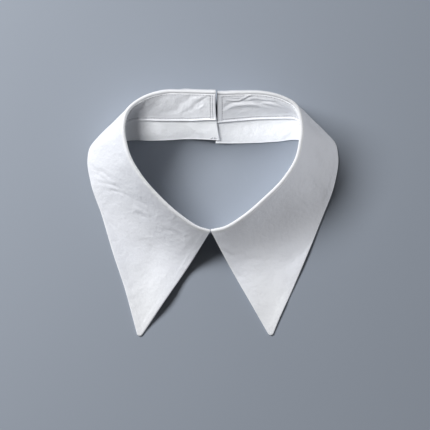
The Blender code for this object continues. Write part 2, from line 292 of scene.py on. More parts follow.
class Graph:
    """Adds nodes and links to one node tree."""

    def __init__(self, tree: bpy.types.NodeTree) -> None:
        """Keep the tree."""
        self.tree = tree

    def node(
        self,
        kind: str,
        settings: dict[str, object] | None = None,
        inputs: dict[str | int, object] | None = None,
    ) -> bpy.types.Node:
        """Add one node.

        Args:
            kind: The node's type.
            settings: Its own settings, set before the sockets.
            inputs: Values or links for its sockets, by name or number.

        Returns:
            The new node.
        """
        made = self.tree.nodes.new(kind)
        for name, value in (settings or {}).items():
            setattr(made, name, value)
        self.fill(made, inputs or {})
        return made

    def fill(self, node: bpy.types.Node, inputs: dict[str | int, object]) -> None:
        """Set or link sockets of a node.

        Args:
            node: The node.
            inputs: Values or links for its sockets, by name or number.
        """
        for key, value in inputs.items():
            if isinstance(value, Value):
                value = value.socket
            if isinstance(value, bpy.types.NodeSocket):
                self.tree.links.new(value, node.inputs[key])
            else:
                node.inputs[key].default_value = value

    def dress(self, inputs: dict[str, object]) -> None:
        """Set or link sockets of the material's own shader."""
        self.fill(self.tree.nodes["Principled BSDF"], inputs)

    def math(self, operation: str, *values: "Value | float") -> Value:
        """Add a Math node and give its result."""
        made = self.node("ShaderNodeMath", {"operation": operation}, dict(enumerate(values)))
        return Value(self, made.outputs[0])

    def ease(self, value: Value, low: float, high: float) -> Value:
        """Go smoothly from 0 to 1 as a value passes from low to high.

        Args:
            value: The value.
            low: Where it gives 0.
            high: Where it gives 1.

        Returns:
            The eased value.
        """
        made = self.node(
            "ShaderNodeMapRange",
            {"interpolation_type": "SMOOTHSTEP"},
            {"Value": value, "From Min": low, "From Max": high},
        )
        return Value(self, made.outputs["Result"])

    def noise(self, place: bpy.types.NodeSocket, grain: Grain) -> Value:
        """Smooth noise at a place.

        Args:
            place: The output that holds the place.
            grain: How fine and how rough the noise is.

        Returns:
            The noise, which swings round the grain's middle.
        """
        made = self.node(
            "ShaderNodeTexNoise",
            {"noise_dimensions": "3D"},
            {"Vector": place, "Scale": grain.scale, "Detail": grain.detail, "Roughness": grain.rough},
        )
        return Value(self, made.outputs["Fac"])

    def attribute(self, name: str) -> Value:
        """A number that the mesh's points carry."""
        made = self.node("ShaderNodeAttribute", {"attribute_name": name})
        return Value(self, made.outputs["Fac"])

    def blend(
        self, share: Value, first: "Colour | bpy.types.NodeSocket", second: Colour
    ) -> bpy.types.NodeSocket:
        """Mix two colours.

        Args:
            share: The second colour's share.
            first: The first colour.
            second: The second colour.

        Returns:
            The mixed colour.
        """
        first = (*first, 1.0) if isinstance(first, tuple) else first
        made = self.node(
            "ShaderNodeMix", {"data_type": "RGBA"}, {0: share, 6: first, 7: (*second, 1.0)}
        )
        return made.outputs[2]

    def bump(self, height: Value, strength: float = 1.0, rise: float = 1.0) -> bpy.types.NodeSocket:
        """Turn a height into a bumpy normal.

        Args:
            height: The height.
            strength: How strongly it shows.
            rise: The millimetres that a height of 1 stands for.

        Returns:
            The normal.
        """
        inputs = {"Strength": strength, "Distance": rise * MM, "Height": height}
        return self.node("ShaderNodeBump", inputs=inputs).outputs[0]


@dataclass(frozen=True)
class Finish:
    """What every finish has: a name and two colours that it varies between."""

    name: str
    colour: Colour
    shade: Colour

    def start(self) -> tuple[bpy.types.Material, Graph, bpy.types.NodeSocket]:
        """Start the material.

        Returns:
            The material, its graph and the output that holds the place on the piece.
        """
        made = bpy.data.materials.new(self.name)
        made.use_nodes = True
        made.diffuse_color = (*self.colour, 1.0)
        graph = Graph(made.node_tree)
        return made, graph, graph.node("ShaderNodeTexCoord").outputs["Object"]


@dataclass(frozen=True)
class Cotton(Finish):
    """Plain-woven white cotton."""

    # Painted highlight: the paler colour that marked edges, points and rolls are painted towards
    pale: Colour = (0.93, 0.94, 0.97)
    thread_pitch: float = 0.42
    thread_height: float = 0.035
    under_height: float = 0.45
    # Painted shade: the cloth is coloured darker in the gaps between threads
    gap_range: Range = (0.55, 0.05)
    gap_shade_tone: float = 0.10
    slub: Grain = Grain(1.0, 3.0)
    slub_stretch: tuple[float, float, float] = (0.12, 1.9, 1.0)
    slub_height: float = 0.06
    slub_roughness: float = 0.10
    rumple: Grain = Grain(70.0, 3.0, 0.55)
    rumple_height: float = 1.0
    pucker: Grain = Grain(330.0, 2.0, 0.6)
    pucker_height: float = 0.30
    patch: Grain = Grain(38.0)
    patch_range: Range = (0.75, 0.3)
    patch_tone: float = 0.10
    patch_roughness: float = 0.06
    # Painted shade along stitch grooves and pressed lines, where the piece marks them
    groove_shade_tone: float = 0.12
    roughness: float = 0.84
    highlight_smoothness: float = 0.05
    specular: float = 0.25
    softness: float = 0.2
    light_reach: float = 0.8
    sheen: float = 0.12
    sheen_roughness: float = 0.5

    def material(self) -> bpy.types.Material:
        """Build the cloth's material from its weave, slubs and soft rumples, with painted shade and
        highlights.

        Returns:
            The material.
        """
        made, graph, place = self.start()
        cloth = graph.node("ShaderNodeUVMap", {"uv_map": "Cloth"}).outputs[0]
        weave = self.weave(graph, cloth)
        stretch = {"Vector": cloth, "Scale": self.slub_stretch}
        slub = graph.noise(graph.node("ShaderNodeMapping", inputs=stretch).outputs[0], self.slub)
        patch = graph.noise(place, self.patch)
        # Painted highlights on edges, points, rolls and hems, where the cloth is also a little smoother
        painted_highlight = graph.attribute("painted_highlight")
        # Painted shade in the thread gaps and along grooves, and tone that varies at random in patches
        tone = (
            graph.ease(weave, *self.gap_range) * self.gap_shade_tone
            + graph.ease(patch, *self.patch_range) * self.patch_tone
            + graph.attribute("shaded_groove") * self.groove_shade_tone
        )
        plain = graph.blend(tone, self.colour, self.shade)
        rough = (
            self.roughness
            + self.slub_roughness * (slub - self.slub.middle)
            + self.patch_roughness * (patch - self.patch.middle)
            - self.highlight_smoothness * painted_highlight
        )
        height = (
            weave * self.thread_height
            + slub * self.slub_height
            + graph.noise(place, self.rumple) * self.rumple_height
            + graph.noise(place, self.pucker) * self.pucker_height
        )
        graph.dress({
            "Base Color": graph.blend(painted_highlight, plain, self.pale),
            "Roughness": rough,
            "Normal": graph.bump(height),
            "Specular IOR Level": self.specular,
            "Subsurface Weight": self.softness,
            "Subsurface Radius": (1.0, 1.0, 1.0),
            "Subsurface Scale": self.light_reach * MM,
            "Sheen Weight": self.sheen,
            "Sheen Roughness": self.sheen_roughness,
        })
        return made

    def weave(self, graph: Graph, cloth: bpy.types.NodeSocket) -> Value:
        """Build the height of the threads, which pass over and under each other.

        Args:
            graph: The material's graph.
            cloth: The output that holds the place on the cloth.

        Returns:
            The height, 1 on top of a thread.
        """
        parts = graph.node("ShaderNodeSeparateXYZ", inputs={0: cloth})
        along = Value(graph, parts.outputs[0]) / self.thread_pitch
        down = Value(graph, parts.outputs[1]) / self.thread_pitch
        over = ((along.floor() + down.floor()) / 2.0).fraction() * 2.0
        dip = 1.0 - self.under_height
        warp = self.crown(along) * (self.under_height + dip * over)
        weft = self.crown(down) * (1.0 - dip * over)
        return warp.larger(weft)

    @staticmethod
    def crown(threads: Value) -> Value:
        """A thread's round height, from a coordinate counted in threads."""
        middle = threads.fraction() * 2.0 - 1.0
        return 1.0 - middle * middle


@dataclass(frozen=True)
class Thread(Finish):
    """Twisted cotton sewing thread."""

    ply_scale: float = 3200.0
    ply_unevenness: float = 0.6
    ply_strength: float = 0.6
    ply_height: float = 0.05
    roughness: float = 0.7
    sheen: float = 0.1

    def material(self) -> bpy.types.Material:
        """Build the thread's material with its twisted plies.

        Returns:
            The material.
        """
        made, graph, place = self.start()
        plies = graph.node(
            "ShaderNodeTexWave",
            {"wave_type": "BANDS", "bands_direction": "DIAGONAL"},
            {"Vector": place, "Scale": self.ply_scale, "Distortion": self.ply_unevenness},
        )
        twist = Value(graph, plies.outputs["Fac"])
        graph.dress({
            "Base Color": graph.blend(twist, self.shade, self.colour),
            "Normal": graph.bump(twist, self.ply_strength, self.ply_height),
            "Roughness": self.roughness,
            "Sheen Weight": self.sheen,
        })
        return made


@dataclass(frozen=True)
class TablePaint(Finish):
    """The table's smooth matt paint."""

    cloud: Grain = Grain(5.0)
    fine: Grain = Grain(900.0)
    roughness: float = 0.62
    fine_roughness: float = 0.08
    fine_strength: float = 0.25
    fine_height: float = 0.05

    def material(self) -> bpy.types.Material:
        """Build the paint's material with faint unevenness.

        Returns:
            The material.
        """
        made, graph, place = self.start()
        fine = graph.noise(place, self.fine)
        graph.dress({
            "Base Color": graph.blend(graph.noise(place, self.cloud), self.colour, self.shade),
            "Roughness": self.roughness + self.fine_roughness * (fine - self.fine.middle),
            "Normal": graph.bump(fine, self.fine_strength, self.fine_height),
        })
        return made


LEAF_COTTON = Cotton("leaf_cotton_cloth", (0.86, 0.875, 0.925), (0.66, 0.675, 0.74))
# Painted shade: the stand's white cotton has darker colours than the band's same cotton
SHADED_STAND_COTTON = Cotton(
    "stand_shaded_cotton_cloth", (0.79, 0.80, 0.83), (0.54, 0.55, 0.59), rumple_height=0.9
)
BAND_COTTON = Cotton("band_cotton_cloth", (0.86, 0.87, 0.89), (0.66, 0.67, 0.70))
# Painted shade: the white sewing thread is coloured grey for the shade in the dimples it sinks into
SHADED_SEWING_THREAD = Thread("shaded_sewing_thread", (0.60, 0.61, 0.64), (0.42, 0.43, 0.46))
# Painted shade: dark dots for the shade in the dimples where the thread goes through the cloth
NEEDLE_SHADE = Thread("needle_hole_shadow", (0.26, 0.26, 0.28), (0.20, 0.20, 0.22))
TABLE_PAINT = TablePaint("table_paint", (0.354, 0.394, 0.459), (0.336, 0.375, 0.440))


def ease(value: np.ndarray, reach: Range) -> np.ndarray:
    """Go smoothly from 0 to 1 as a value passes through a range."""
    t = np.clip((value - reach[0]) / (reach[1] - reach[0]), 0.0, 1.0)
    return t * t * (3.0 - 2.0 * t)


def fade(value: np.ndarray, reach: Range) -> np.ndarray:
    """Go smoothly from 1 to 0 as a value passes through a range."""
    return 1.0 - ease(value, reach)


def ridge(gap: np.ndarray, width: float) -> np.ndarray:
    """A smooth ridge, 1 where the gap is 0."""
    return np.exp(-((gap / width) ** 2))


def nearest(places: np.ndarray, wanted: float) -> int:
    """The number of the place nearest to the one wanted."""
    return int(np.abs(places - wanted).argmin())


def curve_between(
    t: np.ndarray, width: np.ndarray, ends: Sequence[np.ndarray], slopes: Sequence[np.ndarray]
) -> np.ndarray:
    """A smooth cubic curve from one knot to the next.

    Args:
        t: The shares of the way.
        width: The distance between the knots.
        ends: The values at the two knots.
        slopes: The slopes there.

    Returns:
        The values at the shares.
    """
    return (
        (2 * t**3 - 3 * t**2 + 1) * ends[0]
        + (t**3 - 2 * t**2 + t) * width * slopes[0]
        + (3 * t**2 - 2 * t**3) * ends[1]
        + (t**3 - t**2) * width * slopes[1]
    )


def smooth_path(points: np.ndarray) -> np.ndarray:
    """Lead a smooth path through a few points.

    Args:
        points: The points.

    Returns:
        The path's points.
    """
    knots = np.linspace(0.0, 1.0, len(points))
    slopes = np.gradient(points, knots, axis=0)
    made = []
    for place in np.linspace(0.0, 1.0, PATH_POINTS):
        i = min(int(place * (len(points) - 1)), len(points) - 2)
        width = knots[i + 1] - knots[i]
        t = (place - knots[i]) / width
        made.append(curve_between(t, width, points[i:i + 2], slopes[i:i + 2]))
    return np.array(made)


def fold_knots(sections: Sequence[Section]) -> np.ndarray:
    """Measure how far along the fold each section is.

    Args:
        sections: The sections of one half.

    Returns:
        The distances.
    """
    fold = np.array([s[0:3] for s in sections])
    chords = np.linalg.norm(np.diff(fold, axis=0), axis=1)
    return np.concatenate([[0.0], np.cumsum(chords)])


def distances(points: np.ndarray, axis: int) -> np.ndarray:
    """Measure the distances over a grid of points.

    Args:
        points: The grid.
        axis: 0 to measure from the first row, 1 from the first column.

    Returns:
        The distances.
    """
    steps = np.linalg.norm(np.diff(points, axis=axis), axis=2)
    pad = [(0, 0), (0, 0)]
    pad[axis] = (1, 0)
    return np.cumsum(np.pad(steps, pad), axis=axis)


def places_along(length: float, step: float) -> np.ndarray:
    """Choose places along a length, close together near both ends.

    Args:
        length: The whole length.
        step: The largest step in the middle.

    Returns:
        The places in order.
    """
    near = np.array(END_ROWS)
    count = max(2, int(math.ceil((length - 2 * near[-1]) / step)) + 1)
    middle = np.linspace(near[-1], length - near[-1], count)
    return np.concatenate([near[:-1], middle, (length - near[:-1])[::-1]])


def rows_down(lengths: np.ndarray, steps: int) -> np.ndarray:
    """Choose distances down each line, at fixed ones near both ends and even ones between.

    Args:
        lengths: The whole length of each line.
        steps: The number of even steps.

    Returns:
        A row of distances for each line.
    """
    near = np.array(BORDER_ROWS)
    share = np.linspace(0.0, 1.0, steps + 1)[None, :]
    middle = near[-1] + (lengths[:, None] - 2 * near[-1]) * share
    first = np.repeat(near[None, :-1], len(lengths), axis=0)
    last = lengths[:, None] - near[None, :-1][:, ::-1]
    return np.concatenate([first, middle, last], axis=1)


def sample(points: np.ndarray, wanted: np.ndarray) -> np.ndarray:
    """Take points at wanted distances down each line of a grid.

    Args:
        points: The grid.
        wanted: A row of distances for each line.

    Returns:
        The new grid.
    """
    reached = distances(points, 1)
    return np.stack([
        np.stack([np.interp(wanted[i], reached[i], points[i, :, k]) for k in range(3)], axis=1)
        for i in range(len(points))
    ])


@dataclass
class Lines:
    """The collar's middle lines at many places along the fold of one half."""

    sections: Sequence[Section]
    side: int
    places: np.ndarray
    table: np.ndarray = field(init=False)

    def __post_init__(self) -> None:
        """Work out the sections and the inner wall at every place."""
        rows = np.array(self.sections, dtype=float)
        knots = fold_knots(self.sections)
        slopes = np.gradient(rows, knots, axis=0)
        index = np.clip(np.searchsorted(knots, self.places, side="right") - 1, 0, len(knots) - 2)
        width = (knots[index + 1] - knots[index])[:, None]
        t = (self.places - knots[index])[:, None] / width
        ends = (rows[index], rows[index + 1])
        self.table = curve_between(t, width, ends, (slopes[index], slopes[index + 1]))
        self.lift = np.maximum(self.column("lift"), 0.0)
        self.find_directions()
        self.find_wall()

    def column(self, name: str) -> np.ndarray:
        """One named column of the sections."""
        return self.table[:, Section._fields.index(name)]

    def spot(self, name: str) -> np.ndarray:
        """The level places named by the first part of two columns' names."""
        return np.stack([self.column(f"{name}_x"), self.column(f"{name}_y")], axis=1)

    def find_directions(self) -> None:
        """Work out which way is outwards, sideways and down the leaf at every place."""
        fold = self.spot("fold")
        run = np.gradient(fold, self.places, axis=0)
        run /= np.linalg.norm(run, axis=1)[:, None]
        self.outward = self.side * np.stack([-run[:, 1], run[:, 0]], axis=1)
        lean = ((self.spot("foot") - fold) * self.outward).sum(axis=1)
        self.fold = fold - self.outward * (ROLL_SHIFT * np.tanh(lean / ROLL_LEAN))[:, None]
        self.sideways = np.stack([-self.outward[:, 1], self.outward[:, 0]], axis=1)
        reach = self.spot("edge") - self.fold
        self.spread = np.linalg.norm(reach, axis=1)
        self.fall = reach / self.spread[:, None]
        self.axis_height = self.column("fold_z") - ROLL_RADIUS

    def find_wall(self) -> None:
        """Work out the inner wall, a tangent from its foot to the roll."""
        foot = self.spot("foot")
        foot_height = FOOT_LIFT + self.lift
        reach = ((foot - self.fold) * self.outward).sum(axis=1)
        drop = foot_height - self.axis_height
        angle = np.arctan2(drop, reach) - np.arccos(ROLL_RADIUS / np.hypot(reach, drop))
        self.inner_angle = angle % math.tau
        self.top = self.level(
            self.fold + self.outward * (ROLL_RADIUS * np.cos(self.inner_angle))[:, None],
            self.axis_height + ROLL_RADIUS * np.sin(self.inner_angle),
        )
        self.shear = ((foot - self.fold) * self.sideways).sum(axis=1)
        straight_foot = self.level(foot - self.sideways * self.shear[:, None], foot_height)
        self.run = straight_foot - self.top
        self.wall_length = np.linalg.norm(self.run, axis=1)
        across = self.level(self.sideways, np.zeros(len(self.places)))
        inwards = np.cross(self.run / self.wall_length[:, None], across)
        facing = (inwards[:, :2] * self.outward).sum(axis=1)
        self.inwards = -inwards * np.sign(facing)[:, None]

    @staticmethod
    def level(flat: np.ndarray, height: np.ndarray) -> np.ndarray:
        """Points from their level parts and their heights."""
        return np.concatenate([flat, height[:, None]], axis=1)

    def wall(self, depth: np.ndarray) -> np.ndarray:
        """Work out points of the inner wall.

        Args:
            depth: Distances down from the roll, a row for each place.

        Returns:
            The points, as a grid.
        """
        share = (depth / self.wall_length[:, None])[:, :, None]
        across = self.level(self.sideways * self.shear[:, None], np.zeros(len(self.places)))
        bow = self.inwards * self.column("bow")[:, None]
        return (
            self.top[:, None, :]
            + self.run[:, None, :] * share
            + across[:, None, :] * share**2
            + bow[:, None, :] * np.sin(math.pi * share) ** 2
        )

    def leaf_profile(self) -> np.ndarray:
        """Work out dense points from the leaf's seam over the roll to its outer edge.

        Returns:
            The points, as a grid.
        """
        lip_depth = np.linspace(LIP_LENGTH, 0.0, LIP_STEPS + 1)
        lip = self.wall(np.repeat(lip_depth[None, :], len(self.places), axis=0))
        leave = np.radians(self.column("leave"))
        land = np.radians(np.maximum(self.column("land"), 0.0))
        roll = []
        for step in np.linspace(0.0, 1.0, ROLL_STEPS + 1):
            angle = self.inner_angle + (math.pi / 2 - leave - self.inner_angle) * step
            reach = ROLL_RADIUS * np.cos(angle)
            facing = np.where((reach < 0)[:, None], self.outward, self.fall)
            height = self.axis_height + ROLL_RADIUS * np.sin(angle)
            roll.append(self.level(self.fold + facing * reach[:, None], height))
        start = roll[-1]
        flat = np.maximum(self.column("flat"), 0.0)
        edge_height = LEAF_THICKNESS / 2 * np.cos(land) + self.lift
        landing = self.level(self.fold + self.fall * (self.spread - flat)[:, None], edge_height)
        handle = (HANDLE_SHARE * np.linalg.norm(landing - start, axis=1))[:, None]
        away = self.level(self.fall * np.cos(leave)[:, None], -np.sin(leave))
        down = self.level(self.fall * np.cos(land)[:, None], -np.sin(land))
        fall = [
            (1 - t) ** 3 * start
            + 3 * (1 - t) ** 2 * t * (start + away * handle)
            + 3 * (1 - t) * t**2 * (landing - down * handle)
            + t**3 * landing
            for t in np.linspace(0.0, 1.0, FALL_STEPS + 1)
        ]
        end = landing + self.level(self.fall * flat[:, None], np.zeros(len(flat)))
        return np.concatenate([lip, np.stack(roll[1:] + fall[1:] + [end], axis=1)], axis=1)


@dataclass
class Sheet:
    """One piece of cloth, as a grid of points along the fold and down the cloth."""

    name: str
    points: np.ndarray
    turn: int
    thickness: float
    reference: float = 0.0
    along: np.ndarray = field(init=False)
    down: np.ndarray = field(init=False)
    from_end: np.ndarray = field(init=False)
    from_foot: np.ndarray = field(init=False)
    border: np.ndarray = field(init=False)
    # Shares of painted highlight and of painted shade in grooves, for the material
    painted_highlight: np.ndarray = field(init=False)
    shaded_groove: np.ndarray = field(init=False)
    swell: np.ndarray = field(init=False)

    def __post_init__(self) -> None:
        """Measure the distances to the four borders."""
        self.along = distances(self.points, 0)
        self.down = distances(self.points, 1)
        self.from_end = self.along[-1:, :] - self.along
        self.from_foot = self.down[:, -1:] - self.down
        self.border = np.minimum.reduce([self.along, self.from_end, self.down, self.from_foot])
        self.swell = np.zeros(self.down.shape)
        self.painted_highlight = np.zeros(self.down.shape)
        self.shaded_groove = np.zeros(self.down.shape)

    def facing(self) -> np.ndarray:
        """Work out which way the shown side faces at each point.

        Returns:
            Unit vectors, as a grid.
        """
        across = np.gradient(self.points, axis=0)
        downwards = np.gradient(self.points, axis=1)
        made = np.cross(across, downwards) * self.turn
        return made / np.maximum(np.linalg.norm(made, axis=2), TINY)[:, :, None]

    def crumple(self, creases: Sequence[Crease], places: np.ndarray) -> None:
        """Press creases into the cloth.

        Args:
            creases: The creases, with their places on this cloth.
            places: The distance along the fold of each line of the grid.
        """
        facing = self.facing()
        flat = self.points.reshape(-1, 3)
        rise = np.zeros(len(flat))
        for crease in creases:
            path = smooth_path(np.array([self.find(p, places) for p in crease.path]))
            rise += self.crease_rise(crease, path, flat, facing.reshape(-1, 3))
        rise = rise.reshape(self.down.shape)
        self.points = self.points + facing * rise[:, :, None]

    def find(self, place: tuple[float, float], places: np.ndarray) -> np.ndarray:
        """The point of the cloth at a place along the fold and down the cloth."""
        i = nearest(places, place[0])
        return self.points[i, nearest(self.down[i] - self.reference, place[1])]

    @staticmethod
    def crease_rise(
        crease: Crease, path: np.ndarray, flat: np.ndarray, facing: np.ndarray
    ) -> np.ndarray:
        """Work out how far one crease lifts each point.

        Args:
            crease: The crease.
            path: Its points on the cloth.
            flat: The cloth's points.
            facing: The cloth's facing directions at them.

        Returns:
            The rise of each point.
        """
        best = np.full(len(flat), np.inf)
        signed = np.zeros(len(flat))
        share = np.zeros(len(flat))
        for k in range(len(path) - 1):
            run = path[k + 1] - path[k]
            offset = flat - path[k]
            t = np.clip(offset @ run / (run @ run), 0.0, 1.0)
            away = offset - t[:, None] * run
            gap = np.linalg.norm(away, axis=1)
            nearer = gap < best
            side = np.sign((np.cross(facing, run) * away).sum(axis=1))
            best = np.where(nearer, gap, best)
            signed = np.where(nearer, gap * side, signed)
            share = np.where(nearer, (k + t) / (len(path) - 1), share)
        across = signed / crease.width
        shape = ridge(across, 1.0) - crease.lip * ridge(across - LIP_PLACE, 1.0)
        return crease.height * shape * np.sin(math.pi * share) ** END_BLUNTNESS

    def round_corner(self, radius: float) -> None:
        """Round the outer corner at the centre front, within the level plane.

        Args:
            radius: The corner's radius.
        """
        corner = self.points[-1, -1, :2]
        sides = []
        for line in (self.points[:, -1, :2], self.points[-1, :, :2]):
            apart = np.linalg.norm(line - corner, axis=1)
            side = line[nearest(apart, CORNER_SIDES * radius)] - corner
            sides.append(side / np.linalg.norm(side))
        inside = sides[0] + sides[1]
        inside /= np.linalg.norm(inside)
        half = math.acos(float(np.clip(sides[0] @ inside, -1.0, 1.0)))
        to_centre = radius / math.sin(half)
        centre = corner + inside * to_centre
        offset = self.points[:, :, :2] - centre
        gap = np.linalg.norm(offset, axis=2)
        towards = offset / np.maximum(gap, TINY)[:, :, None]
        off_axis = np.arccos(np.clip(towards @ -inside, -1.0, 1.0))
        widest = math.pi / 2 - half
        within = (off_axis < widest) & (gap < CORNER_REACH * to_centre)
        factor = np.where(within, np.cos(widest - off_axis), 1.0)
        self.points[:, :, :2] = centre + offset * factor[:, :, None]

    def build(self, material: bpy.types.Material) -> bpy.types.Object:
        """Make the closed piece with rounded edges.

        Args:
            material: The cloth's material.

        Returns:
            The piece.
        """
        facing = self.facing()
        outer = self.thickness / 2 + self.swell
        radius = self.thickness / 2 + np.maximum(self.swell, 0.0)
        near = np.clip(self.border / radius, 0.0, 1.0)
        edge = np.sqrt(1.0 - (1.0 - near) ** 2)
        shown = self.points + facing * (outer * edge)[:, :, None]
        hidden = self.points - facing * (self.thickness / 2 * edge)[:, :, None]
        rows, columns = self.down.shape
        number = np.arange(rows * columns).reshape(rows, columns)
        inner = np.zeros((rows, columns), dtype=bool)
        inner[1:-1, 1:-1] = True
        under = number.copy()
        under[inner] = rows * columns + np.arange(inner.sum())
        vertices = np.concatenate([shown.reshape(-1, 3), hidden[inner]]) - TABLE_MIDDLE
        vertices[:, 2] = np.where(vertices[:, 2] < SETTLED_HEIGHT, 0.0, vertices[:, 2])
        faces = np.concatenate([
            self.quads(number, self.turn > 0),
            self.quads(under, self.turn < 0),
        ])
        mesh = bpy.data.meshes.new(self.name)
        mesh.from_pydata((vertices * MM).tolist(), [], faces.tolist())
        self.add_maps(mesh, np.concatenate([number.ravel(), number[inner]]))
        mesh.materials.append(material)
        mesh.shade_smooth()
        mesh.validate()
        piece = bpy.data.objects.new(self.name, mesh)
        bpy.context.scene.collection.objects.link(piece)
        return piece

    @staticmethod
    def quads(number: np.ndarray, forwards: bool) -> np.ndarray:
        """Work out the grid's faces.

        Args:
            number: The number of each point of the grid.
            forwards: Which way the faces are wound.

        Returns:
            The four corners of each face.
        """
        corners = [number[:-1, :-1], number[1:, :-1], number[1:, 1:], number[:-1, 1:]]
        if not forwards:
            corners.reverse()
        return np.stack([c.ravel() for c in corners], axis=1)

    def add_maps(self, mesh: bpy.types.Mesh, which: np.ndarray) -> None:
        """Give the mesh its cloth coordinates and its shares of painted highlight and painted groove shade.

        Args:
            mesh: The mesh.
            which: The grid's point that each of its points comes from.
        """
        loops = np.zeros(len(mesh.loops), dtype=np.int64)
        mesh.loops.foreach_get("vertex_index", loops)
        layer = mesh.uv_layers.new(name="Cloth")
        places = np.stack([self.along.ravel()[which], self.down.ravel()[which]], axis=1)
        layer.data.foreach_set("uv", places[loops].astype(np.float32).ravel())
        for name, values in (("painted_highlight", self.painted_highlight), ("shaded_groove", self.shaded_groove)):
            attribute = mesh.attributes.new(name, "FLOAT", "POINT")
            attribute.data.foreach_set("value", values.ravel()[which].astype(np.float32))

    def surface_line(self, index: tuple[slice | int, slice | int], sunk: float) -> np.ndarray:
        """Take points on the shown side along one line or row of the grid.

        Args:
            index: The line or row.
            sunk: How far the points are sunk.

        Returns:
            The points.
        """
        height = self.thickness / 2 + self.swell - sunk
        return (self.points + self.facing() * height[:, :, None])[index] - TABLE_MIDDLE


class Mark(Enum):
    """What a stitched row repeats, by the name of its tree."""

    STITCH = "stitch_row"
    # Dots of painted shade between the stitches
    NEEDLE_SHADE = "needle_shade_row"
    TACK = "hand_tack"


@dataclass(frozen=True)
class SewnRow:
    """The geometry tree that repeats one mark along a path."""

    mark: Mark
    pitch: float
    length: float
    radius: float
    shift: float = 0.0
    segments: int = 10
    rings: int = 6

    def tree(self, material: bpy.types.Material) -> bpy.types.NodeTree:
        """Build the tree, whose named inputs set the row's sizes.

        Args:
            material: The mark's material.

        Returns:
            The tree.
        """
        tree = bpy.data.node_groups.new(self.mark.value, "GeometryNodeTree")
        for name, kind in (("Path", "Geometry"), ("Pitch", "Float"), ("Size", "Vector"), ("Shift", "Float")):
            tree.interface.new_socket(name, in_out="INPUT", socket_type=f"NodeSocket{kind}")
        tree.interface.new_socket("Row", in_out="OUTPUT", socket_type="NodeSocketGeometry")
        graph = Graph(tree)
        given = graph.node("NodeGroupInput").outputs
        curve = graph.node("GeometryNodeMeshToCurve", inputs={"Mesh": given["Path"]})
        spaced = graph.node(
            "GeometryNodeResampleCurve",
            {"mode": "LENGTH"},
            {"Curve": curve.outputs[0], "Length": given["Pitch"]},
        )
        tangent = graph.node("GeometryNodeInputTangent").outputs[0]
        offset = graph.node(
            "ShaderNodeVectorMath", {"operation": "SCALE"}, {0: tangent, "Scale": given["Shift"]}
        )
        moved = graph.node(
            "GeometryNodeSetPosition",
            inputs={"Geometry": spaced.outputs[0], "Offset": offset.outputs[0]},
        )
        ball = graph.node(
            "GeometryNodeMeshUVSphere",
            inputs={"Segments": self.segments, "Rings": self.rings, "Radius": 1.0},
        )
        shaped = graph.node(
            "GeometryNodeTransform",
            inputs={"Geometry": ball.outputs["Mesh"], "Scale": given["Size"]},
        )
        turned = graph.node(
            "FunctionNodeAlignRotationToVector", {"axis": "X"}, {"Vector": tangent}
        )
        placed = graph.node(
            "GeometryNodeInstanceOnPoints",
            inputs={
                "Points": moved.outputs[0],
                "Instance": shaped.outputs[0],
                "Rotation": turned.outputs[0],
            },
        )
        real = graph.node("GeometryNodeRealizeInstances", inputs={0: placed.outputs[0]})
        painted = graph.node(
            "GeometryNodeSetMaterial", inputs={"Geometry": real.outputs[0], "Material": material}
        )
        graph.node("NodeGroupOutput", inputs={0: painted.outputs[0]})
        return tree

    def sew(
        self, name: str, paths: Sequence[np.ndarray], material: bpy.types.Material
    ) -> bpy.types.Object:
        """Repeat the mark along paths and keep the result as one plain piece.

        Args:
            name: The piece's name.
            paths: The rows' points in millimetres.
            material: The mark's material.

        Returns:
            The piece.
        """
        edges = []
        start = 0
        for path in paths:
            edges += [(start + k, start + k + 1) for k in range(len(path) - 1)]
            start += len(path)
        guide = bpy.data.meshes.new(name)
        guide.from_pydata((np.concatenate(paths) * MM).tolist(), edges, [])
        piece = bpy.data.objects.new(name, guide)
        bpy.context.scene.collection.objects.link(piece)
        tree = self.tree(material)
        modifier = piece.modifiers.new("Row", "NODES")
        modifier.node_group = tree
        sizes = {
            "Pitch": self.pitch * MM,
            "Size": (self.length / 2 * MM, self.radius * MM, self.radius * MM),
            "Shift": self.shift * MM,
        }
        for item in tree.interface.items_tree:
            if item.name in sizes:
                modifier[item.identifier] = sizes[item.name]
        depsgraph = bpy.context.evaluated_depsgraph_get()
        made = bpy.data.meshes.new_from_object(piece.evaluated_get(depsgraph))
        piece.modifiers.remove(modifier)
        piece.data = made
        made.name = name
        made.shade_smooth()
        return piece


STITCH = SewnRow(Mark.STITCH, 2.2, 1.3, 0.17)
# Dots of painted shade, set between the stitches
SHADE_DOTS = SewnRow(Mark.NEEDLE_SHADE, 2.2, 1.0, 0.38, 1.1)
TACK = SewnRow(Mark.TACK, 1.1, 1.6, 0.22)


@dataclass
class Finishes:
    """The materials of the collar, made once."""

    leaf: bpy.types.Material = field(default_factory=LEAF_COTTON.material)
    stand: bpy.types.Material = field(default_factory=SHADED_STAND_COTTON.material)
    band: bpy.types.Material = field(default_factory=BAND_COTTON.material)
    thread: bpy.types.Material = field(default_factory=SHADED_SEWING_THREAD.material)
    needle_shade: bpy.types.Material = field(default_factory=NEEDLE_SHADE.material)


def declare(
    piece: bpy.types.Object, node: str,
    extras: Sequence[bpy.types.Object] = (),
) -> None:
    """Attach a cloth piece and the pieces on it to the body, and hide the part that it stands for.

    Args:
        piece: The cloth.
        node: The node it stands for.
        extras: The pieces stitched on it.
    """
    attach(piece, BODY)
    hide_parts(node)
    for extra in extras:
        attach(extra, BODY)
        LOG.info("%s: %d faces", extra.name, len(extra.data.polygons))


